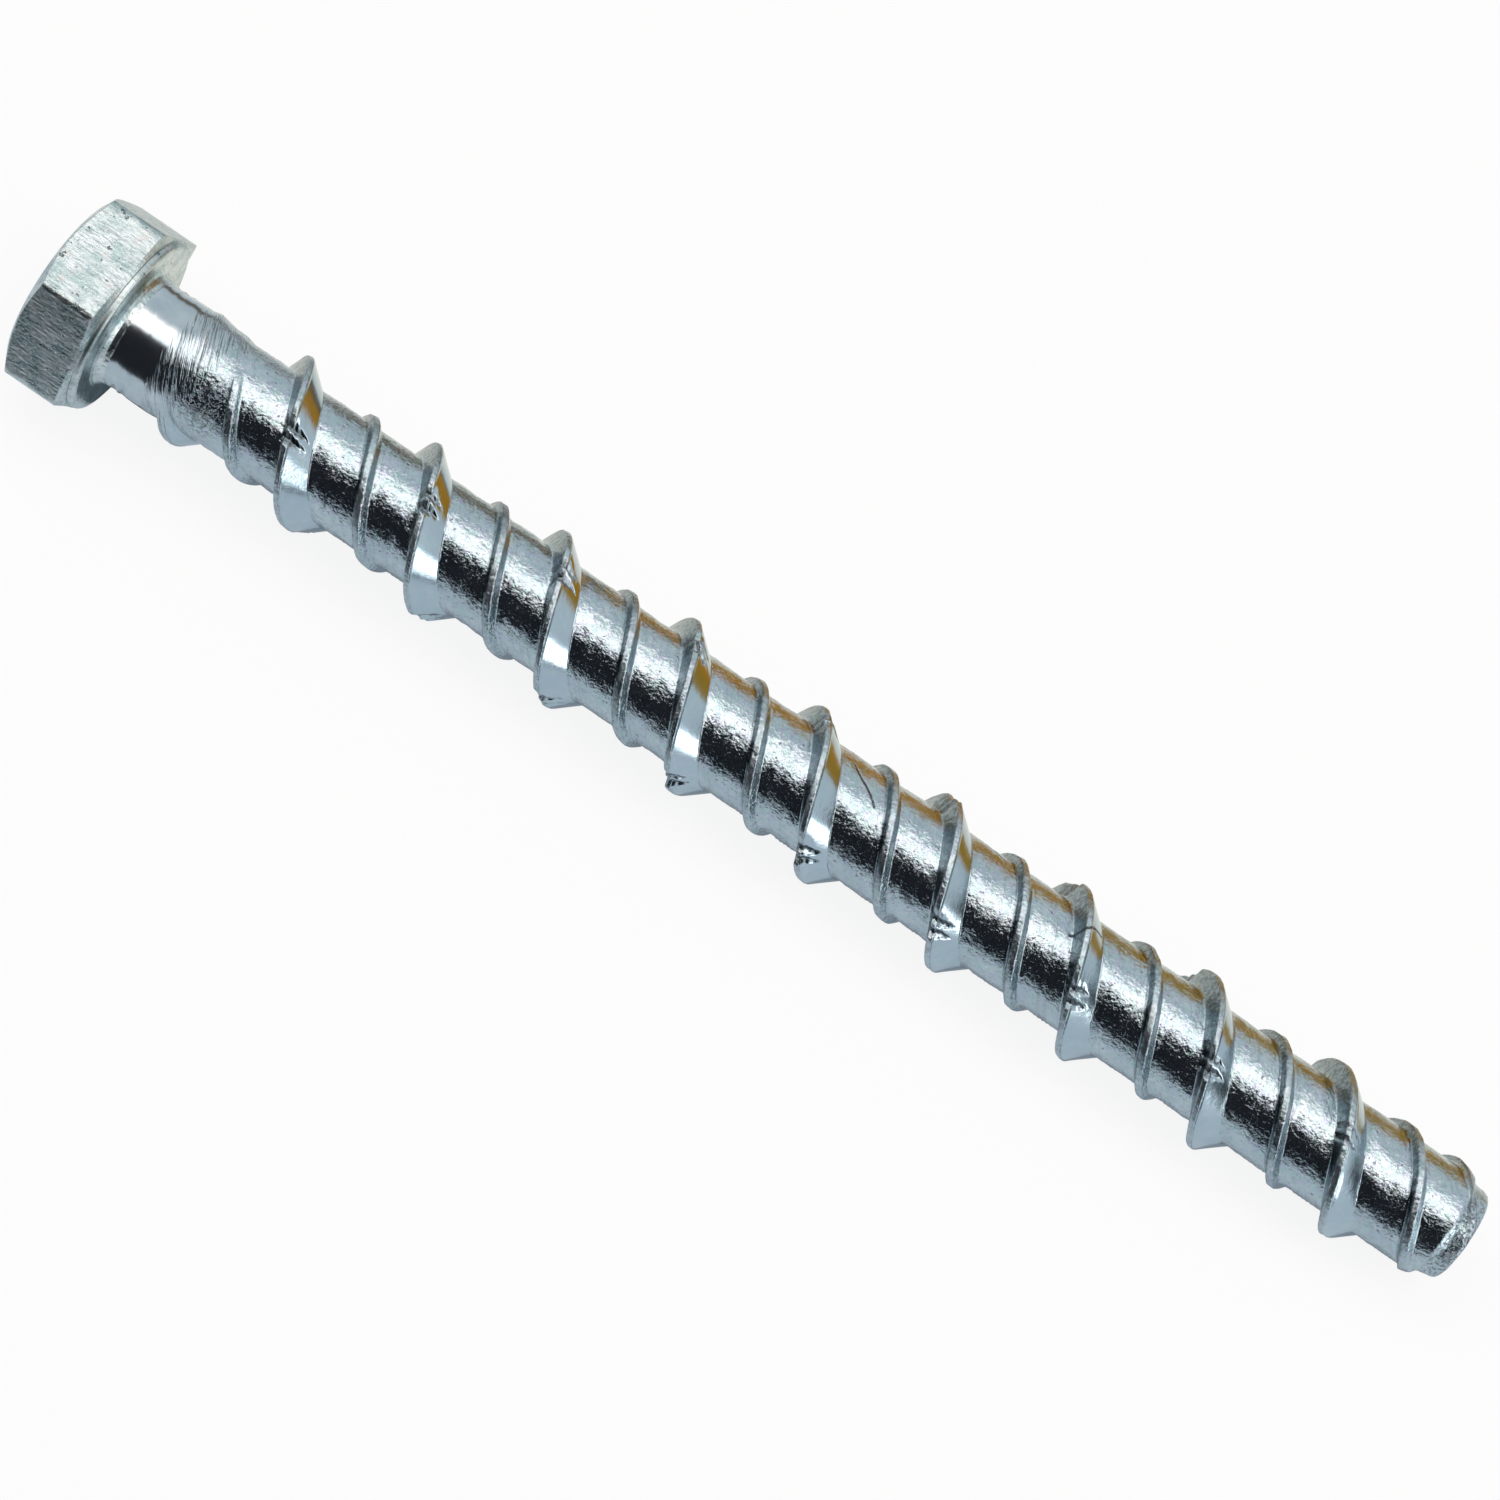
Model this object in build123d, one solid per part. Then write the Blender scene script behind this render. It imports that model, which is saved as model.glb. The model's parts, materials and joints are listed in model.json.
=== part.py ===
from build123d import *
import math
import os

# A concrete screw: hex head with a washer face, plain neck, and a rolled thread of two
# starts, one high and one low, that cuts into the wall of a plain drilled hole.
# It is drawn upright, bearing face at z = 0 and tip upwards, then laid on its side, with
# the tip along +X and the middle of its footprint at the origin.
# All lengths are in millimetres and all angles in degrees.

# Overall
length = 150.0
core_radius = 5.37

# Hex head
across_flats = 19.0
hex_thickness = 7.15
crown_circle_share = 0.95
crown_slope = 30.0
heel_circle_share = 1.10
heel_slope = 50.0

# Washer face and neck
washer_radius = 8.8
washer_thickness = 0.85
washer_rim_round = 0.3
neck_radius = 5.72
neck_length = 5.6
neck_round = 0.5
neck_end_drop = 0.6

# Thread, two starts on one lead, right handed
lead = 14.607
high_phase = 18.72
high_crest_radius = 7.43
high_crest_width = 0.70
high_head_flank = 0.65
high_tip_flank = 1.90
low_crest_radius = 6.14
low_crest_width = 0.45
low_head_flank = 0.45
low_tip_flank = 0.95
low_lag = 0.553 * lead

# Roll of the screw about its own axis: the angle from the middle of the upper flat to
# the line on which the high crest crosses high_phase
crest_line_angle = 24.6

# Where the threads rise out of the core and where they sink back into it
rise_start = neck_length + 0.4
rise_end = rise_start + 4.3
fade_start = length - 21.0
fade_knee = length - 9.0
fade_knee_radius = 6.95
fade_end = length - 3.8
fade_end_radius = 5.95
tip_shoulder = length - 1.2
tip_radius = 4.52
tip_face_radius = 4.3

# Cutting nicks, evenly spaced along the high crest
nick_pitch = 114.63
nick_first = -117.13
nick_depth = 0.9
nick_half_width = 1.2
nick_clearance = 0.6
nick_reach = 2.4
plain_crest_at_end = 5.0

crest_clearance = 0.5
hidden_overlap = 0.6


def polar(radius, angle):
    """Point at the given radius and angle in the plane across the axis."""
    turn = math.radians(angle)
    return (radius * math.cos(turn), radius * math.sin(turn))


def crest_angle(height, lag=0.0):
    """Angle at which a crest, lagging the high one along the axis, crosses a height."""
    return crest_line_angle + 360.0 * (height - high_phase - lag) / lead


def flank(middle, start, end, start_radius, end_radius):
    """Flank of a ridge across the axis: the radius runs evenly between two axial offsets."""
    foot = polar(start_radius, middle - 360.0 * start / lead)
    halfway = polar((start_radius + end_radius) / 2, middle - 180.0 * (start + end) / lead)
    head = polar(end_radius, middle - 360.0 * end / lead)
    return ThreePointArc(foot, halfway, head)


def ring(start_angle, end_angle, radius):
    """Arc about the axis between two angles."""
    middle = (start_angle + end_angle) / 2
    return ThreePointArc(polar(radius, start_angle), polar(radius, middle), polar(radius, end_angle))


def ridge(middle, crest_radius, crest_width, head_flank, tip_flank):
    """The three edges of one ridge, from the flank that faces the head to the tip side."""
    half = crest_width / 2
    head_side = flank(middle, -half - head_flank, -half, core_radius, crest_radius)
    top = ring(middle + 360.0 * half / lead, middle - 360.0 * half / lead, crest_radius)
    tip_side = flank(middle, half, half + tip_flank, crest_radius, core_radius)
    return [head_side, top, tip_side]


def thread_section(height):
    """Section of the threaded shank across the axis at a height."""
    high_middle = crest_angle(height)
    low_middle = crest_angle(height, low_lag)
    high = ridge(high_middle, high_crest_radius, high_crest_width, high_head_flank, high_tip_flank)
    low = ridge(low_middle, low_crest_radius, low_crest_width, low_head_flank, low_tip_flank)
    high_end = high_middle - 360.0 * (high_crest_width / 2 + high_tip_flank) / lead
    high_start = high_middle + 360.0 * (high_crest_width / 2 + high_head_flank) / lead
    low_end = low_middle - 360.0 * (low_crest_width / 2 + low_tip_flank) / lead
    low_start = low_middle + 360.0 * (low_crest_width / 2 + low_head_flank) / lead
    after_high = ring(high_end, low_start, core_radius)
    after_low = ring(low_end, high_start - 360.0, core_radius)
    outline = Wire(high + [after_high] + low + [after_low])
    return Plane.XY.offset(height) * Face(outline)


def hex_head():
    """Hex prism with a coned crown and slightly eased corners towards the washer face."""
    flat = across_flats / 2
    corner = flat / math.cos(math.radians(30))
    under = -washer_thickness
    top = under - hex_thickness
    crown = flat * crown_circle_share
    heel = flat * heel_circle_share
    crown_drop = (corner + crest_clearance - crown) * math.tan(math.radians(crown_slope))
    heel_drop = (corner + crest_clearance - heel) * math.tan(math.radians(heel_slope))
    blank = Polyline(
        (0, under),
        (heel, under),
        (corner + crest_clearance, under - heel_drop),
        (corner + crest_clearance, top + crown_drop),
        (crown, top),
        (0, top),
        close=True,
    )
    turned = revolve(Plane.XZ * make_face(blank), Axis.Z)
    prism = extrude(Plane.XY.offset(top) * RegularPolygon(corner, 6, rotation=30), hex_thickness)
    return prism & turned


def washer_and_neck():
    """Washer face, the small round under it and the plain neck, turned as one."""
    edge = washer_radius - washer_rim_round
    round_start = (neck_radius + neck_round, 0)
    round_end = (neck_radius, neck_round)
    outline = Wire(
        [
            Line((0, -washer_thickness - hidden_overlap), (edge, -washer_thickness - hidden_overlap)),
            Line((edge, -washer_thickness - hidden_overlap), (washer_radius, -washer_thickness)),
            Line((washer_radius, -washer_thickness), (washer_radius, -washer_rim_round)),
            RadiusArc((washer_radius, -washer_rim_round), (edge, 0), -washer_rim_round),
            Line((edge, 0), round_start),
            RadiusArc(round_start, round_end, neck_round),
            Line(round_end, (neck_radius, neck_length)),
            Line((neck_radius, neck_length), (core_radius - crest_clearance, neck_length + neck_end_drop)),
            Line((core_radius - crest_clearance, neck_length + neck_end_drop), (0, neck_length + neck_end_drop)),
            Line((0, neck_length + neck_end_drop), (0, -washer_thickness - hidden_overlap)),
        ]
    )
    return revolve(Plane.XZ * Face(outline), Axis.Z)


def thread_envelope(bottom):
    """Turned outline that both threads stay inside: it lets them rise, run full and fade."""
    clear = high_crest_radius + crest_clearance
    hidden = (core_radius + neck_radius) / 2
    fade_slope = (high_crest_radius - fade_knee_radius) / (fade_knee - fade_start)
    rise_slope = (high_crest_radius - hidden) / (rise_end - rise_start)
    outline = Polyline(
        (0, bottom),
        (hidden, bottom),
        (hidden, rise_start),
        (clear, rise_end + crest_clearance / rise_slope),
        (clear, fade_start - crest_clearance / fade_slope),
        (fade_knee_radius, fade_knee),
        (fade_end_radius, fade_end),
        (tip_radius, tip_shoulder),
        (tip_face_radius, length),
        (0, length),
        close=True,
    )
    return revolve(Plane.XZ * make_face(outline), Axis.Z)


def threaded_shank():
    """Core and both ridges as one twisted solid, trimmed to the envelope."""
    bottom = neck_length - hidden_overlap
    top = length + hidden_overlap
    twist = 360.0 * (top - bottom) / lead
    section = thread_section(bottom)
    twisted = Solid.extrude_linear_with_rotation(section, (0, 0, bottom), (0, 0, top - bottom), twist)
    return Part() + twisted & thread_envelope(bottom)


def nick_cutters():
    """V-shaped wedges, one for each cutting nick of the high crest."""
    last = 360.0 * (fade_end - plain_crest_at_end - high_phase) / lead
    count = int((last - nick_first) / nick_pitch) + 1
    apex = high_crest_radius - nick_depth
    mouth = high_crest_radius + nick_clearance
    spread = nick_half_width * (nick_depth + nick_clearance) / nick_depth
    wedge = make_face(Polyline((apex, 0), (mouth, spread), (mouth, -spread), close=True))
    cutter = extrude(wedge, nick_reach, both=True)
    cutters = []
    for index in range(count):
        along = nick_first + index * nick_pitch
        height = high_phase + lead * along / 360.0
        cutters.append(Pos(0, 0, height) * Rot(0, 0, crest_line_angle + along) * cutter)
    return cutters


def lying(screw):
    """The screw on its side, on a lower flat of the head and on a thread crest near the tip."""
    under_phase = high_phase + lead * (180.0 - crest_line_angle) / 360.0
    turns = int((fade_start - under_phase) / lead)
    contact = under_phase + turns * lead
    tilt = math.atan2(across_flats / 2 - high_crest_radius, contact + washer_thickness)
    along = (math.cos(tilt), 0, -math.sin(tilt))
    upwards = (math.sin(tilt), 0, math.cos(tilt))
    laid = Plane(origin=(0, 0, 0), x_dir=upwards, z_dir=along).location * screw
    box = laid.bounding_box()
    return Pos(-box.center().X, -box.center().Y, -box.min.Z) * laid


upright = washer_and_neck() + hex_head() + threaded_shank()
upright = upright - nick_cutters()
concrete_screw = lying(upright)
concrete_screw.label = "concrete_screw"

os.makedirs("parts", exist_ok=True)
export_step(concrete_screw, "parts/concrete_screw.step")
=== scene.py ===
import json

import bpy
import numpy as np
from mathutils import Matrix


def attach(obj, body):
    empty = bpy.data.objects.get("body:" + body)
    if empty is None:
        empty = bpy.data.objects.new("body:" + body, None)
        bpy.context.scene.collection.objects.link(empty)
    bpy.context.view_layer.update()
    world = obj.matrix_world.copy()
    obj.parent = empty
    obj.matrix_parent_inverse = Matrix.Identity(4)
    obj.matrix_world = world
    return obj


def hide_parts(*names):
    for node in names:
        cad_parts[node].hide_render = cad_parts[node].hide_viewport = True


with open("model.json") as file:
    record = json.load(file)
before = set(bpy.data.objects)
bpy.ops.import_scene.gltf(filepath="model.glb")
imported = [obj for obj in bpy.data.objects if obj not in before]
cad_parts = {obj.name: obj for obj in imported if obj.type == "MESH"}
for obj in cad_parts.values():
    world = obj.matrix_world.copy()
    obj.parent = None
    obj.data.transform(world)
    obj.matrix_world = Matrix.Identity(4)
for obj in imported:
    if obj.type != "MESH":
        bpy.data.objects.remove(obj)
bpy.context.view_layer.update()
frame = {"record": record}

# A concrete screw lying on a pale floor. Lengths are in millimetres along the screw's own
# axis until place() puts them into the frame in metres. The stage is built in metres.
# A level or height runs along the axis from the bearing face towards the tip. A turn goes
# round the axis from the middle of the upper flat, in radians; constants that name a side
# hold it in degrees.
MM = 0.001

# How the screw lies, from its mount in the frame: the middle of the bearing face, and how
# far the tip dips in radians
BEARING = next(m for m in frame["record"]["mounts"] if m["name"] == "bearing_face")
SEAT = np.array(BEARING["pos_m"]) / MM
TILT = np.arctan2(-BEARING["axis"][2], BEARING["axis"][0])

# Shank, and a thread of two starts on one lead
LENGTH = 150.0
NECK = 5.72
CORE = 5.34
LEAD = 14.607
LOW_LAG = 0.553 * LEAD
CREST_ANGLE = 24.6
CREST_HEIGHT = 18.72

# Where along the axis the neck tapers into the core, and where each ridge rises out of it
TAPER = (5.2, 8.4)
HIGH_RISE = (5.6, 8.9)
LOW_RISE = (8.6, 14.0)

# The three lines of a ridge in a cut along the axis, from the head side to the tip side:
# where the line crosses the core, past the middle of the crest, and its slope
HIGH_LINES = ((-0.78, 3.4), (-20.2, 0.1), (2.58, -0.90))
LOW_LINES = ((-0.42, 2.9), (-7.6, 0.10), (1.06, -1.45))

# Largest radius at each height: full thread, its fade and the tip; and the rings of the
# tip's face, as shares of its radius
ENVELOPE = (
    (0, 9), (129, 7.5), (141, 7.0), (146.2, 5.95), (147.75, 5.45),
    (148.2, 4.86), (149.5, 4.62), (149.85, 4.5), (LENGTH, 4.3),
)
FACE_RINGS = (0.985, 0.8, 0.5, 0.2)

# Cutting nicks, evenly spaced in degrees along the high crest, the last ones shallow, and
# the radius at which distances round the ridge are taken
NICKS = 28
SHALLOW_NICKS = 2
NICK_FIRST = -117.13
NICK_PITCH = 114.63
NICK_RADIUS = 7.2

# Head: half its width across the flats, the round of its corners, its top, the crown's
# radius and slope in degrees, the hexagon's lower edge and underside, and the washer's
# rim and face
HALF_FLATS = 9.5
HEX_CORNER = 0.55
HEAD_TOP = -8.0
CROWN = 0.95 * HALF_FLATS
CROWN_SLOPE = 30
HEX_EDGE = -1.42
HEX_UNDERSIDE = -0.98
WASHER = 9.22
WASHER_FACE = -0.36

# Sides of the screw that differ from the rest
SEEN_SIDE = 23.75
COLLAR_SIDE = -66
# The lower side, where the walls of the nicks get the most painted shade
SHADED_NICK_SIDE = 50
PITTED_SIDE = 52
SHORT_BEVEL_SIDE = -80

# Long scratches across the core: the height and the degrees past the seen side of both ends
SCRATCHES = (
    ((78.8, -58), (82.6, -24)),
    ((77.0, -86), (78.6, -80)),
    ((92.4, -84), (95.8, -66)),
    ((60.5, -52), (62.0, -38)),
    ((104.0, -30), (106.5, -44)),
)

# The offset from the high crest at which the shank's columns start, one lead before their end
SEAM = -2.4

# Distances that stand for "none near here"
NO_NICK = 4.0
NO_SCRATCH = 9.0


def soft_min(a, b, corner):
    """The smaller of two values, with the corner between them rounded over a band."""
    share = np.clip(0.5 + 0.5 * (b - a) / corner, 0, 1)
    return b * (1 - share) + a * share - corner * share * (1 - share)


def soft_max(a, b, corner):
    """The larger of two values, with the corner between them rounded over a band."""
    return -soft_min(-a, -b, corner)


def smooth_step(value, start, end):
    """0 below start, 1 above end, and an S between them."""
    share = np.clip((value - start) / (end - start), 0, 1)
    return share * share * (3 - 2 * share)


def bell(distance, width):
    """A smooth hump: 1 at no distance and about a third at the width."""
    return np.exp(-((distance / width) ** 2))


def waves(points, size, seed):
    """A smooth random field with bumps about `size` across: the sum of cosines that run
    through space in seeded random directions, scaled to a spread of one."""
    count = 28
    rng = np.random.default_rng(seed)
    directions = rng.normal(size=(3, count))
    directions /= np.linalg.norm(directions, axis=0)
    rates = 2 * np.pi / size * rng.uniform(0.6, 1.5, count)
    phases = rng.uniform(0, 2 * np.pi, count)
    return np.cos(points @ (directions * rates) + phases).sum(-1) / np.sqrt(count / 2)


def turned_from(turn, side):
    """The angle from a side, taken the short way round."""
    return (turn - np.radians(side) + np.pi) % (2 * np.pi) - np.pi


def around(radius, turn, height):
    """Points at a radius, a turn and a height along the screw's own axis."""
    across, side = radius * np.cos(turn), radius * np.sin(turn)
    return np.stack([across, side, height + 0 * across], axis=-1)


def place(points):
    """The screw's own axes laid into the frame: along +X and a little down, in metres."""
    across, side, along = points[..., 0], points[..., 1], points[..., 2]
    x = SEAT[0] + along * np.cos(TILT) + across * np.sin(TILT)
    z = SEAT[2] - along * np.sin(TILT) + across * np.cos(TILT)
    return np.stack([x, SEAT[1] - side, z], axis=-1) * MM


def show(name, mesh):
    """Puts a mesh into the scene as an object of the same name."""
    piece = bpy.data.objects.new(name, mesh)
    bpy.context.scene.collection.objects.link(piece)
    return piece


def closed_grid(name, grid, marks, flip=False):
    """A mesh from a grid of points whose columns close round the axis and whose first and
    last rows close on a pole. Each cell is cut along the diagonal from its first corner."""
    rows, columns = grid.shape[:2]
    index = np.arange(rows * columns).reshape(rows, columns)
    after = np.roll(index, -1, axis=1)
    first = np.stack([index[:-1], after[:-1], after[1:]], axis=-1).reshape(-1, 3)
    second = np.stack([index[:-1], after[1:], index[1:]], axis=-1).reshape(-1, 3)
    start, end = rows * columns, rows * columns + 1
    start_fan = np.stack([after[0], index[0], np.full(columns, start)], axis=-1)
    end_fan = np.stack([index[-1], after[-1], np.full(columns, end)], axis=-1)
    faces = np.concatenate([first, second, start_fan, end_fan])
    if flip:
        faces = faces[:, ::-1]
    poles = [grid[:1].mean(axis=1), grid[-1:].mean(axis=1)]
    points = place(np.concatenate([grid.reshape(-1, 3), *poles]))
    mesh = bpy.data.meshes.new(name)
    mesh.vertices.add(len(points))
    mesh.vertices.foreach_set("co", points.astype(np.float32).ravel())
    mesh.loops.add(faces.size)
    mesh.loops.foreach_set("vertex_index", faces.astype(np.int32).ravel())
    mesh.polygons.add(len(faces))
    mesh.polygons.foreach_set("loop_start", np.arange(0, faces.size, 3, dtype=np.int32))
    mesh.polygons.foreach_set("use_smooth", np.ones(len(faces), dtype=bool))
    for mark, values in marks.items():
        kind, field = ("FLOAT", "value") if values.ndim == 2 else ("FLOAT_VECTOR", "vector")
        values = values.reshape(rows * columns, -1)
        values = np.concatenate([values, values[:1], values[-1:]]).astype(np.float32)
        mesh.attributes.new(mark, kind, "POINT").data.foreach_set(field, values.ravel())
    mesh.update(calc_edges=True)
    mesh.validate()
    return show(name, mesh)


# Shank

def ridge(x, lines, worn):
    """A ridge in a cut along the axis: a steep flank on the head side, a nearly flat crest
    and a long flank on the tip side, with the corners between them worn round."""
    head_flank, crest, tip_flank = (slope * (x - zero) for zero, slope in lines)
    return soft_min(soft_min(head_flank, crest, worn), tip_flank, worn)


def risen(height, grown):
    """A ridge that rises out of the core as it grows from 0 to 1."""
    sunk = 0.6
    return height * grown - sunk * (1 - grown)


def thread(x, level):
    """Radius over the core in a cut along the axis, x past the middle of the high crest.
    Each ridge rises along its own crest, after the neck, and a shallow dip follows it."""
    x_low = x - LOW_LAG
    high = risen(ridge(x, HIGH_LINES, 0.08), smooth_step(level - x, *HIGH_RISE))
    low = risen(ridge(x_low, LOW_LINES, 0.14), smooth_step(level - x_low, *LOW_RISE))
    dip = 0.03 * bell(x - 3.1, 0.4) + 0.03 * bell(x_low - 1.8, 0.4)
    high_root = np.where(x < 0, 0.05, 0.02)
    low_root = np.where(x_low < 0, 0.05, 0.04)
    return soft_max(soft_max(high, -dip, high_root), low, low_root)


def shaft(turn, level):
    """Radius without the ridges: the neck tapers into the core, with a collar on one side
    where the low thread starts."""
    taper = smooth_step(level, *TAPER)
    collar = 0.25 * bell(turned_from(turn, COLLAR_SIDE), 0.8)
    collar = collar * smooth_step(level, 5.1, 6.1) * smooth_step(level, 10.4, 8.6)
    return NECK + (CORE - NECK) * taper + collar


def groove(x, across, depth, reach):
    """How deep a V groove cuts into the high ridge: deepest at the head flank, it runs out
    down the other one at its reach, and one of its walls is steeper."""
    bottom = depth * np.clip((reach - x) / (reach + 0.2), 0, 1.2) ** 0.7
    return bottom - np.where(across > 0, 1.30 * across, -0.62 * across)


def nicks(x, turn):
    """The cutting nicks: how deep they are struck into the high ridge, and the distance
    round the ridge from the bottom of the nearest groove. Each nick is a torn pair of
    grooves side by side, with a lip pushed up along their rim."""
    cut, way = np.zeros(turn.shape), np.full(turn.shape, NO_NICK)
    rng = np.random.default_rng(5)
    for number in range(NICKS):
        middle = np.radians(CREST_ANGLE + NICK_FIRST + NICK_PITCH * number)
        skew, apart = rng.uniform(-0.20, 0.25), rng.uniform(1.05, 1.35)
        for side in (-0.5, 0.5):
            depth = rng.uniform(0.65, 0.90) if number < NICKS - SHALLOW_NICKS else 0.30
            reach = rng.uniform(1.7, 2.1)
            torn = 0.06 * np.sin(4 * x + rng.uniform(0, 6))
            torn = torn + 0.04 * np.sin(11 * x + rng.uniform(0, 6))
            across = NICK_RADIUS * (turn - middle) - side * apart - skew * x - torn
            struck = groove(x, across, depth, reach)
            lip = 0.012 * np.clip(reach - x, 0, 1) * np.exp(-((struck / 0.10 + 0.7) ** 2))
            cut = np.maximum(cut, struck) - lip * smooth_step(x, 1.6, 0.9)
            way = np.where(np.abs(across) < np.abs(way), across, way)
    return cut * smooth_step(x, -1.1, -0.8), way


def scratches(turn, level):
    """The few long scratches: the signed distance across the nearest one and how far past
    its ends."""
    across, past_end = (np.full(level.shape, NO_SCRATCH) for _ in range(2))
    for (start, start_side), (end, end_side) in SCRATCHES:
        run, rise = end - start, CORE * np.radians(end_side - start_side)
        size = np.hypot(run, rise)
        on_axis = level - (start + end) / 2
        round_axis = CORE * turned_from(turn, SEEN_SIDE + (start_side + end_side) / 2)
        along = (on_axis * run + round_axis * rise) / size
        off = (round_axis * run - on_axis * rise) / size + 0.10 * np.sin(1.3 * along)
        past = np.clip(np.abs(along) - size / 2, 0, None)
        nearer = np.hypot(off, past) < np.hypot(across, past_end)
        across, past_end = np.where(nearer, off, across), np.where(nearer, past, past_end)
    return np.stack([across, past_end, 0 * level], axis=-1)


def smooth_flank(x, raised):
    """Where the long flank of the high ridge is, smoother and with a painted reflection."""
    across = smooth_step(x, 0.3, 0.5) * smooth_step(x, 2.60, 2.52)
    return across * smooth_step(raised, 0.03, 0.10)


def steep_flanks(x, level, raised):
    """Where the head flanks of both ridges are; the finish paints shade on them."""
    x_low = x - LOW_LAG
    high = smooth_step(x, -0.90, -0.70) * smooth_step(x, -0.14, -0.26)
    low = smooth_step(x_low, -0.75, -0.55) * smooth_step(x_low, -0.02, -0.14)
    return high * smooth_step(raised, 0.1, 0.4) + low * smooth_step(level, 10, 14)


def crests(x, raised):
    """Where the crests of both ridges are."""
    high = np.exp(-((x / 0.42) ** 4))
    low = np.exp(-(((x - LOW_LAG - 0.1) / 0.45) ** 4))
    return (high + low) * smooth_step(raised, 0.3, 0.6)


def scored_neck(turn, level):
    """Where the dies scored the end of the neck, in a band that slants a little."""
    return smooth_step(level, 4.4, 5.2) * smooth_step(level + 1.2 * np.sin(turn), 10.5, 8.0)


def thread_way(x, level):
    """Coordinates that follow the thread: a circle for the way across its lead, which closes
    without a seam, and the level."""
    round_lead = 2 * np.pi * x / LEAD + 0 * level
    return np.stack([np.cos(round_lead), np.sin(round_lead), level], axis=-1)


def pitting(turn, level):
    """How pitted the surface is: the blank's skin shows in a patch where the low thread
    starts and at the tip, where the dies never touched it."""
    patch = 1.6 * bell(turned_from(turn, PITTED_SIDE), 0.42) * bell(level - 10.6, 1.4)
    return np.clip(patch + smooth_step(level, 147.6, 148.4), 0, 1)


def shank_columns():
    """Offsets from the middle of the high crest, close together wherever a ridge bends."""
    stops = [SEAM, -1.1, 0.6, 2.44, 2.70, 4.4, 7.3, 9.5, LEAD + SEAM]
    counts = [4, 21, 13, 8, 6, 7, 23, 6]
    spans = zip(stops[:-1], stops[1:], counts)
    return np.concatenate([np.linspace(a, b, n, endpoint=False) for a, b, n in spans])


def shank_heights():
    """Heights of the rows: close together in the nicks, and evenly spaced between them."""
    nick_heights = CREST_HEIGHT + LEAD * (NICK_FIRST + NICK_PITCH * np.arange(NICKS)) / 360
    neck_end, thread_end, step, step_in_nick = 10.3, 148.6, 0.31, 0.052
    neck = np.concatenate([[-1.0, 0.0, 0.4, 1.0, 2.0, 3.0], np.arange(3.6, neck_end, 0.16)])
    tip = [148.9, 149.2, 149.45, 149.6, 149.75, 149.88, 149.96, LENGTH]
    height, threaded = neck_end, []
    while height < thread_end:
        past = height - nick_heights
        height += step_in_nick if np.any((past > -0.60) & (past < 0.50)) else step
        threaded.append(height)
    return np.concatenate([neck, threaded, tip])


def on_tip_face(values, here):
    """A mark's rows with those of the tip's face added, which all say the same."""
    face = np.broadcast_to(here, (len(FACE_RINGS), *values.shape[1:]))
    return np.concatenate([values, face])


def shank():
    """Neck, threads and tip as one surface of height and offset from the high crest: the
    columns follow the thread, so that every ridge keeps its edge, and the rows run along the
    axis over the high ridge, so that every nick keeps its walls. Its radius is the shaft
    with both ridges on it, struck by the nicks, topped by the envelope and a little uneven."""
    x, heights = shank_columns()[None, :], shank_heights()[:, None]
    ahead = np.interp(x, [SEAM, -1.1, 2.6, LEAD + SEAM], [-1.2, -1.1, 2.6, -1.2])
    slanted = smooth_step(heights, 6.4, 12.6) * smooth_step(heights, 147.6, 140.6)
    level = heights + ahead * slanted
    turn = np.radians(CREST_ANGLE + 360 * (level - x - CREST_HEIGHT) / LEAD)

    raised = thread(x, level)
    struck, nick_way = nicks(x, turn)
    struck = np.minimum(struck, np.clip(raised - 0.15, 0, None)) * smooth_step(level, 8, 9)
    limit = np.interp(level, *zip(*ENVELOPE))
    radius = soft_min(shaft(turn, level) + raised - struck, limit, 0.25)
    flank, way = smooth_flank(x, raised), thread_way(x, level)
    on_core = around(CORE, turn, level)
    uneven = 0.026 * waves(on_core, 2.8, seed=11) + 0.012 * waves(on_core, 1.0, seed=12)
    radius = radius + smooth_step(level, 5.0, 9.0) * (1 - 0.85 * flank) * uneven
    tip_turn = turn[-1:]
    tip_face = around(np.outer(FACE_RINGS, radius[-1]), tip_turn, LENGTH + 0 * tip_turn)
    grid = np.concatenate([around(radius, turn, level), tip_face])
    marks = {
        "rolled": (smooth_step(level, 5.5, 9.5), 1),
        "flank": (flank, 0),
        "crest": (crests(x, raised), 0),
        "scored": (scored_neck(turn, level), 0),
        # the head flanks, which the finish darkens as painted shade
        "steep": (steep_flanks(x, level, raised), 0),
        "struck": (smooth_step(struck, 0.0, 0.10), 0),
        # how much painted shade the nick walls get: most on the lower side
        "nick_shade": (0.35 + 0.65 * bell(turned_from(turn, SHADED_NICK_SIDE), 1.1), 0),
        "nick_way": (nick_way, NO_NICK),
        "pitted": (pitting(turn, level), 1),
        "thread_way": (way, way[-1:]),
        "scratch": (scratches(turn, level), NO_SCRATCH),
    }
    marks = {name: on_tip_face(values, here) for name, (values, here) in marks.items()}
    return closed_grid("threaded_shank", grid, marks, flip=True)


# Head

def hex_reach(turn, flat, corner):
    """Distance from the axis to a hexagon with rounded corners, flats at every 60 degrees."""
    folded = (turn + np.pi / 6) % (np.pi / 3) - np.pi / 6
    here = flat / np.cos(folded)
    beyond = flat / np.cos(np.pi / 3 - np.abs(folded))
    return soft_min(here, beyond, corner)


def walk(turn, corners):
    """Radius and height along a walk between corners, row by row. A corner is its radius,
    its height and the number of rows from there to the next one."""
    rows = []
    for (r0, h0, count), (r1, h1, _) in zip(corners, corners[1:] + corners[-1:]):
        share = np.linspace(0, 1, count, endpoint=False)[:, None] + 0 * turn
        rows.append((r0 + (r1 - r0) * share, h0 + (h1 - h0) * share))
    return (np.concatenate(part) for part in zip(*rows))


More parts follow.
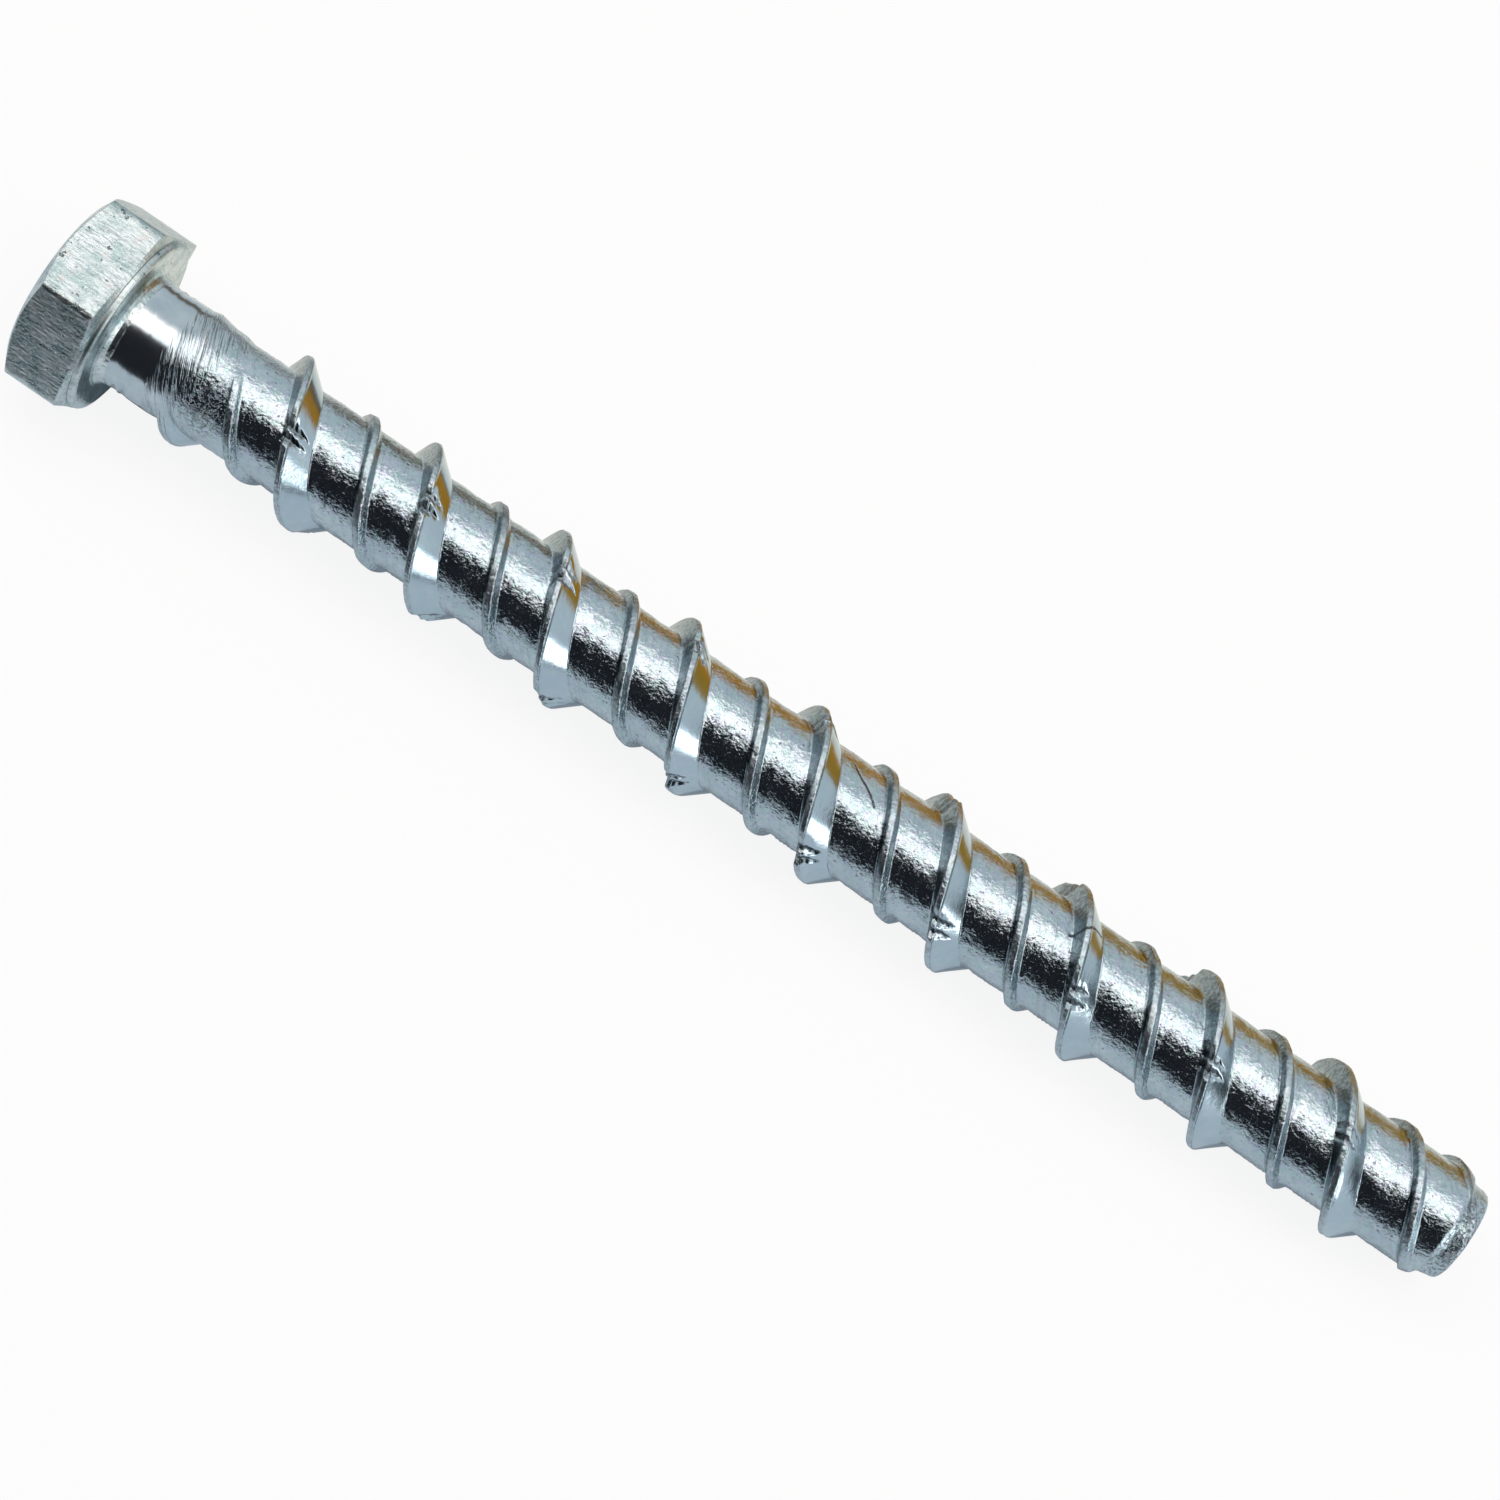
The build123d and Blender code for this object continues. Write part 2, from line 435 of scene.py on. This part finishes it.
def head():
    """Hexagon, washer face and crown as one surface of turn and a walk down the meridian:
    crown, cone, flat, bevel, washer rim, bearing face and the round into the neck."""
    turn = np.linspace(0, 2 * np.pi, 540, endpoint=False)[None, :]
    reach = hex_reach(turn, HALF_FLATS, HEX_CORNER)
    crown_edge = HEAD_TOP + (reach - CROWN) * np.tan(np.radians(CROWN_SLOPE))
    bevel = HEX_EDGE + 0.80 * bell(turned_from(turn, SHORT_BEVEL_SIDE), 0.6)
    under = np.maximum(HEX_UNDERSIDE, bevel + 0.08)
    washer = WASHER_FACE - under
    radius, height = walk(turn, (
        (0.02, HEAD_TOP, 14),
        (CROWN, HEAD_TOP, 14),
        (reach, crown_edge, 40),
        (reach, bevel, 12),
        (WASHER + 0.14, under, 3),
        (WASHER + 0.04, under + 0.02, 8),
        (WASHER, under + 0.55 * washer, 5),
        (WASHER - 0.14, under + 0.85 * washer, 5),
        (WASHER - 0.42, WASHER_FACE, 14),
        (NECK + 0.88, WASHER_FACE - 0.10, 5),
        (NECK + 0.48, WASHER_FACE + 0.08, 6),
        (NECK + 0.12, WASHER_FACE + 0.45, 4),
        (NECK, WASHER_FACE + 0.90, 2),
        (NECK - 0.12, WASHER_FACE + 1.05, 1),
    ))
    forged = smooth_step(height, under + 0.02, under - 0.05)
    rim = smooth_step(radius, WASHER - 0.52, WASHER - 0.22) * (1 - forged)
    return closed_grid("hex_head", around(radius, turn, height), {"forged": forged, "rim": rim})


# Finish

# Colours that the metal gives to what it mirrors
SHADED_ZINC = (0.39, 0.47, 0.52)
BRIGHT_ZINC = (0.50, 0.57, 0.61)
LAVENDER = (0.42, 0.45, 0.58)
SEA_GREEN = (0.34, 0.52, 0.50)
SLATE = (0.34, 0.40, 0.44)
DARK_SLATE = (0.20, 0.26, 0.30)
# A pale blue painted on the long flanks as a reflection
FLANK_REFLECTION_BLUE = (0.41, 0.52, 0.59)
# Painted shade for the head flanks, and a mottled darkening of the crests
FLANK_SHADE_AND_CREST_MOTTLE = (0.12, 0.16, 0.18)
SOOT = (0.08, 0.09, 0.10)
# Painted shade in the walls of the nicks, and the dark of the scratches themselves
NICK_SHADE_AND_SCRATCH = (0.03, 0.035, 0.04)
SHADED_HEAD = (0.36, 0.47, 0.475)
BRIGHT_HEAD = (0.60, 0.67, 0.68)
DRAW_MARK = (0.25, 0.30, 0.32)
VIOLET_GREY = (0.30, 0.34, 0.42)
RUSTY_GREY = (0.52, 0.42, 0.38)
PIT = (0.08, 0.10, 0.12)


class Signal:
    """A shader value that can be used in Python sums: each operation adds its Math node."""

    def __init__(self, tree, socket):
        self.tree = tree
        self.socket = socket

    def _with(self, operation, other, swapped=False):
        pair = (other, self) if swapped else (self, other)
        return self.tree.node("ShaderNodeMath", {"operation": operation}, dict(enumerate(pair)))

    def __add__(self, other):
        return self._with("ADD", other)

    def __sub__(self, other):
        return self._with("SUBTRACT", other)

    def __rsub__(self, other):
        return self._with("SUBTRACT", other, True)

    def __mul__(self, other):
        return self._with("MULTIPLY", other)

    def top(self, other):
        """The larger of the two."""
        return self._with("MAXIMUM", other)

    __radd__ = __add__
    __rmul__ = __mul__


class Finish:
    """The node tree of a material, or of the world."""

    def __init__(self, name, owner=None):
        self.material = owner or bpy.data.materials.new(name)
        self.material.use_nodes = True
        self.tree = self.material.node_tree
        self.tree.nodes.clear()

    def node(self, kind, settings=None, inputs=None, output=None):
        """Adds a node, sets it up and links or fills its sockets. Returns the output of this
        name, or else the first one."""
        made = self.tree.nodes.new(kind)
        for key, value in (settings or {}).items():
            setattr(made, key, value)
        for key, value in (inputs or {}).items():
            if isinstance(value, Signal):
                self.tree.links.new(value.socket, made.inputs[key])
            else:
                made.inputs[key].default_value = value
        outputs = [socket for socket in made.outputs if socket.enabled]
        chosen = [socket for socket in outputs if output in (None, socket.name)]
        return Signal(self, chosen[0]) if chosen else None

    def where(self):
        """The place in the object's own coordinates, in metres."""
        return self.node("ShaderNodeTexCoord", output="Object")

    def mark(self, name, output="Fac"):
        """A value that the mesh carries, or a vector where output says "Vector"."""
        return self.node("ShaderNodeAttribute", {"attribute_name": name}, output=output)

    def ray(self, kind):
        """1 for rays of this kind, such as "Is Camera Ray", and 0 for others."""
        return self.node("ShaderNodeLightPath", output=kind)

    def noise(self, where, scale, detail=3.0, rough=0.55):
        """Cloudy noise about 0.5; the scale counts features in a metre."""
        inputs = {"Vector": where, "Scale": scale, "Detail": detail, "Roughness": rough}
        return self.node("ShaderNodeTexNoise", {}, inputs)

    def stretch(self, where, by):
        """Coordinates multiplied along each axis, so that a noise on them is drawn out."""
        return self.node("ShaderNodeVectorMath", {"operation": "MULTIPLY"}, {0: where, 1: by})

    def ramp(self, value, low, high):
        """An S from 0 at low to 1 at high."""
        ends = {0: value, 1: low, 2: high, 3: 0.0, 4: 1.0}
        return self.node("ShaderNodeMapRange", {"interpolation_type": "SMOOTHSTEP"}, ends)

    def blend(self, share, start, end):
        """A colour between two colours."""
        start, end = (c if isinstance(c, Signal) else (*c, 1) for c in (start, end))
        return self.node("ShaderNodeMix", {"data_type": "RGBA"}, {0: share, 6: start, 7: end})

    def overlaid(self, colour, layers):
        """A colour with others laid over it in turn, each (share, colour)."""
        for share, layer in layers:
            colour = self.blend(share, colour, layer)
        return colour

    def glow(self, colour, strength):
        """A surface that shows this colour by itself."""
        colour = colour if isinstance(colour, Signal) else (*colour, 1)
        return self.node("ShaderNodeEmission", {}, {"Color": colour, "Strength": strength})

    def either(self, share, first, second):
        """A surface between two surfaces."""
        return self.node("ShaderNodeMixShader", {}, {0: share, 1: first, 2: second})

    def finished(self, surface, last_node="ShaderNodeOutputMaterial"):
        """Shows this surface and returns the material."""
        self.node(last_node, {}, {"Surface": surface})
        return self.material

    def metal(self, colour, roughness, height):
        """Bare metal of this colour and roughness, with a relief of this height in tenths of
        a millimetre."""
        bump = {"Height": height, "Distance": 0.1 * MM, "Strength": 1.0}
        inputs = {
            "Base Color": colour,
            "Metallic": 1.0,
            "Roughness": roughness,
            "Normal": self.node("ShaderNodeBump", {}, bump),
        }
        return self.finished(self.node("ShaderNodeBsdfPrincipled", {}, inputs))


def rolled_zinc():
    """Bright zinc over rolled steel: bluish and glossy, with a hammered grain where the dies
    pressed, smooth flanks, scratches along the thread, and pits in the blank's skin."""
    f = Finish("rolled_zinc")
    where, along_thread = f.where(), f.mark("thread_way", "Vector")
    rolled, flank, crest, steep = map(f.mark, ("rolled", "flank", "crest", "steep"))
    struck, nick_shade, scored, pitted = map(f.mark, ("struck", "nick_shade", "scored", "pitted"))
    rough_part = rolled * (1.0 - flank * 0.9)

    grain = f.noise(where, 2700.0, 4.0, 0.6)
    mottle = f.ramp(grain, 0.42, 0.60)
    dents = f.noise(where, 1000.0, 2.0)
    clouds = f.noise(where, 330.0, 4.0, 0.6)
    pits = f.ramp(f.noise(where, 3000.0, 3.0, 0.5), 0.50, 0.40)
    speck = f.ramp(f.noise(where, 1500.0, 2.0), 0.31, 0.26)
    stains = f.ramp(f.noise(where, 1500.0, 3.0), 0.42, 0.62)
    smuts = f.ramp(f.noise(where, 2000.0, 3.0), 0.50, 0.66)
    scores = f.noise(f.stretch(along_thread, (2.32, 2.32, 0.10)), 3.2, 3.0, 0.6)
    cuts = f.ramp(scores, 0.56, 0.64) * scored

    # The walls of the nicks, which get painted shade below
    torn = f.mark("nick_way") + (f.noise(where, 1600.0, 3.0) - 0.5) * 0.8
    wall = f.ramp(torn, 0.14, -0.02) * f.ramp(torn, -0.75, -0.45) * struck
    scratch = f.mark("scratch", "Vector")
    across, past_end = (
        f.node("ShaderNodeSeparateXYZ", {}, {0: scratch}, output=axis) for axis in "XY"
    )
    beside = across.top(across * -1.0) + (grain - 0.5) * 0.12
    scratched = f.ramp(beside, 0.15, 0.06) * f.ramp(past_end, 0.20, 0.0)
    scratched = scratched * f.ramp(clouds, 0.22, 0.36)

    relief = (
        grain * (0.03 + rough_part * 0.62 + crest * 0.3 + struck * 0.1)
        + dents * rough_part * (1.05 - struck * 0.8)
        + scores * (rough_part * 0.06 + scored * 2.0)
        - cuts * 1.5
        - scratched * 0.8
        - pits * (pitted * 0.8 + rough_part * 0.08)
        - speck * rough_part * 0.3
    )
    dull = f.ramp(clouds, 0.35, 0.70) * rough_part
    rough = 0.17 - rolled * 0.06 + flank * 0.05 + dull * 0.06 + crest * 0.16 + pitted * 0.10
    tone = f.overlaid(f.blend(f.ramp(clouds, 0.30, 0.70), SHADED_ZINC, BRIGHT_ZINC), (
        (f.ramp(dents, 0.40, 0.65) * rolled * 0.5, LAVENDER),
        (stains * rolled * 0.45, SEA_GREEN),
        (f.ramp(scores, 0.52, 0.70) * rough_part * 0.5, SLATE),
        ((pits * pitted * 0.55).top(speck * rough_part * 0.6), SOOT),
        (smuts * rough_part * 0.20, DARK_SLATE),
        # a painted reflection, pale blue on the long flanks
        (flank * 0.5, FLANK_REFLECTION_BLUE),
        # painted shade on the head flanks of both ridges, and a mottled darkening of the crests
        (steep * (0.50 + mottle * 0.30) + crest * mottle * 0.35, FLANK_SHADE_AND_CREST_MOTTLE),
        # painted shade in the nick walls, strongest on the lower side, and the dark scratches
        ((wall * nick_shade * 0.85).top(scratched * 0.85), NICK_SHADE_AND_SCRATCH),
    ))
    return f.metal(tone, rough, relief)


def forged_zinc():
    """Zinc over the forged head: duller, mottled, with draw marks along the axis and pits."""
    f = Finish("forged_zinc")
    where, forged, rim = f.where(), f.mark("forged"), f.mark("rim")
    drawn = f.noise(f.stretch(where, (0.14, 1.0, 1.0)), 3200.0, 4.0, 0.65)
    skin = f.noise(where, 2800.0, 4.0, 0.65)
    dents = f.noise(where, 800.0, 3.0)
    clouds = f.noise(where, 420.0, 4.0, 0.7)
    blotches = f.ramp(f.noise(where, 700.0, 3.0), 0.56, 0.72)
    pits = f.ramp(f.noise(where, 1300.0, 2.0), 0.34, 0.28)
    relief = (drawn * 0.75 + skin * 0.8 + dents * 0.7 - pits * 0.7) * (0.35 + forged * 0.65)
    dull = f.ramp(clouds, 0.30, 0.70) * forged
    rough = 0.24 + rim * 0.16 - forged * 0.01 + dull * 0.12
    tone = f.overlaid(f.blend(f.ramp(clouds, 0.36, 0.62), SHADED_HEAD, BRIGHT_HEAD), (
        (f.ramp(drawn, 0.48, 0.66) * 0.55, DRAW_MARK),
        (f.ramp(skin, 0.56, 0.68) * 0.4, VIOLET_GREY),
        (blotches * 0.35, RUSTY_GREY),
        (pits * 0.8, PIT),
    ))
    return f.metal(tone, rough, relief)


# Stage, in metres

WHITE = (1.0, 1.0, 1.0)
WARM_WHITE = (1.0, 0.92, 0.88)
CREAM = (0.93, 0.92, 0.84)
BLACK = (0.022, 0.023, 0.028)
DEEP_SHADE = (0.09, 0.12, 0.14)
SHADE = (0.30, 0.34, 0.38)
BROWN = (0.20, 0.15, 0.09)
AMBER = (0.56, 0.25, 0.02)
GOLD = (0.48, 0.25, 0.025)

FLOOR_COLOUR = (0.80, 0.81, 0.82)
FLOOR_IN_METAL = (0.68, 0.78, 0.86)
ROOM_LIGHT = (0.82, 0.87, 0.92)
ROOM_IN_METAL = (0.77, 0.82, 0.85)

# How far the cards on the floor lie over it, and where those behind the screw turn up
LIFT = 0.0004
BACK = 0.075


def arc(radius, start, end):
    """Points (y, z) on an arc over the screw; degrees from straight up towards the camera."""
    turn = np.radians(np.linspace(start, end, 40))
    return np.stack([-radius * np.sin(turn), 0.01 + radius * np.cos(turn)], axis=-1)


def strip(near, far):
    """Outline (y, z) of a card that lies just over the floor."""
    return [(near, LIFT), (far, LIFT)]


def edge(near, height):
    """Outline (y, z) of a card over the floor that turns up at the back."""
    return [*strip(near, BACK), (BACK, height)]


def drawn_out(profile, start, end):
    """Both edges of a card whose outline (y, z) is drawn out along X."""
    profile = np.asarray(profile, dtype=float)
    return [np.column_stack([np.full(len(profile), x), profile]) for x in (start, end)]


def card(name, rows, colour, strength=1.0, lights_floor=False):
    """A studio card between two rows of points. It shows in metal, and lights the floor
    where that is asked for, but neither the camera nor a shadow shows it."""
    low, high = (np.asarray(row, dtype=float) for row in rows)
    count = len(low)
    faces = [(i, i + 1, count + i + 1, count + i) for i in range(count - 1)]
    mesh = bpy.data.meshes.new(name)
    mesh.from_pydata(np.concatenate([low, high]).tolist(), [], faces)
    piece = show(name, mesh)
    piece.visible_camera = False
    piece.visible_diffuse = lights_floor
    piece.visible_shadow = False
    f = Finish(name)
    mesh.materials.append(f.finished(f.glow(colour, strength)))


def cards():
    """The soft box and the dark flag that the core shows as its bands, the shades and
    coloured edges on the floor that show in its sides, and a white card past the tip that
    shows in the flanks."""
    wide = (-1.0, 1.0)
    soft_box, soft_edge = arc(0.5, -21, 14), arc(0.5, -27, -21)
    dark_side = [*arc(0.55, 14, 88), (-0.55, 0.001), (-0.078, 0.001)]
    card("overhead_soft_box", drawn_out(soft_box, *wide), WARM_WHITE, 2.6, lights_floor=True)
    card("soft_box_edge", drawn_out(soft_edge, *wide), WARM_WHITE, 1.2, lights_floor=True)
    for name, outline, start, end, colour in (
        ("dark_flag", dark_side, -1.5, 0.6, BLACK),
        ("dark_floor_past_head", strip(-0.095, -0.045), -0.4, -0.084, BLACK),
        ("shade_under_head", strip(-0.005, 0.008), -0.076, -0.062, DEEP_SHADE),
        ("shade_under_shank", strip(-0.006, 0.003), -0.058, 0.079, SHADE),
        ("pale_strip_behind", strip(0.009, 0.024), -0.4, 0.4, CREAM),
        ("brown_edge_by_neck", edge(0.044, 0.010), -0.4, -0.060, BROWN),
        ("brown_edge_behind", edge(0.028, 0.022), -0.060, -0.022, BROWN),
        ("amber_edge_behind", edge(0.024, 0.024), -0.022, 0.030, AMBER),
        ("gold_edge_behind", edge(0.024, 0.024), 0.030, 0.10, GOLD),
    ):
        card(name, drawn_out(outline, start, end), colour)
    x = 0.45
    lower = [(x, -0.018, 0.044), (x, -0.135, -0.010)]
    upper = [(x, -0.072, 0.168), (x, -0.230, 0.040)]
    card("white_card_past_tip", (lower, upper), WHITE, 4.5)


def floor():
    """A plain pale floor that keeps the screw's shadow. The eye and the metal see part of
    it in its own flat colour."""
    far = 3.0
    corners = [(-far, -far, 0), (far, -far, 0), (far, far, 0), (-far, far, 0)]
    mesh = bpy.data.meshes.new("floor")
    mesh.from_pydata(corners, [], [(0, 1, 2, 3)])
    piece = show("floor", mesh)
    f = Finish("pale_floor")
    to_eye, to_metal = f.ray("Is Camera Ray"), f.ray("Is Glossy Ray")
    lit = f.node("ShaderNodeBsdfDiffuse", {}, {"Color": (*FLOOR_COLOUR, 1)})
    plain = f.glow(f.blend(to_metal, WHITE, FLOOR_IN_METAL), 1.0)
    mesh.materials.append(f.finished(f.either(to_eye * 0.88 + to_metal * 0.60, lit, plain)))


def room():
    """Soft room light, paler to the eye and to metal than to the floor."""
    world = bpy.data.worlds.new("room")
    bpy.context.scene.world = world
    f = Finish("room", world)
    dim, pale, white = (
        f.node("ShaderNodeBackground", {}, {"Color": (*colour, 1), "Strength": strength})
        for colour, strength in ((ROOM_LIGHT, 0.5), (ROOM_IN_METAL, 1.0), (WHITE, 1.0))
    )
    in_metal = f.either(f.ray("Is Glossy Ray"), dim, pale)
    f.finished(f.either(f.ray("Is Camera Ray"), in_metal, white), "ShaderNodeOutputWorld")


def photo_camera():
    """The camera at the photograph's viewing angle. Its frame is turned so that the screw's
    axis runs down across the picture at `slope`, leans towards the camera at the tip, and
    shows the seen side; the bearing face's middle falls on the pixel (across, down) at the
    distance in millimetres."""
    picture, focal, sensor = 1500, 3752.2, 36
    across, down, distance = 134.99, 330.73, 352.6
    slope, lean, roll = np.radians(34.363), 0.0293, np.radians(SEEN_SIDE)

    down_slope = np.array([np.cos(slope), np.sin(slope), 0])
    into_picture = np.array([0, 0, 1])
    axis_in_view = np.cos(lean) * down_slope - np.sin(lean) * into_picture
    near_in_view = -np.sin(lean) * down_slope - np.cos(lean) * into_picture
    side_in_view = np.array([-np.sin(slope), np.cos(slope), 0])
    axis = np.array([np.cos(TILT), 0, -np.sin(TILT)])
    up = np.array([np.sin(TILT), 0, np.cos(TILT)])
    front = np.array([0, -1, 0])
    near = np.cos(roll) * up + np.sin(roll) * front
    side = -np.sin(roll) * up + np.cos(roll) * front
    from_view = np.stack([axis, near, side], axis=1)
    from_view = from_view @ np.stack([axis_in_view, near_in_view, side_in_view])
    seat_in_view = [(across - picture / 2) / focal, (down - picture / 2) / focal, 1.0]
    position = (SEAT - from_view @ np.array(seat_in_view) * distance) * MM

    data = bpy.data.cameras.new("photo_camera")
    data.sensor_width = sensor
    data.lens = focal / picture * sensor
    data.clip_start = 0.01
    data.clip_end = 50
    camera = bpy.data.objects.new("photo_camera", data)
    bpy.context.scene.collection.objects.link(camera)
    pose = np.eye(4)
    pose[:3, :3] = from_view * (1, -1, -1)
    pose[:3, 3] = position
    camera.matrix_world = Matrix(pose)
    bpy.context.scene.camera = camera


for piece, plating in ((shank(), rolled_zinc()), (head(), forged_zinc())):
    piece.data.materials.append(plating)
    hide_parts("concrete_screw")
    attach(piece, "root")

floor()
room()
cards()
photo_camera()
bpy.context.scene.view_settings.view_transform = "Standard"
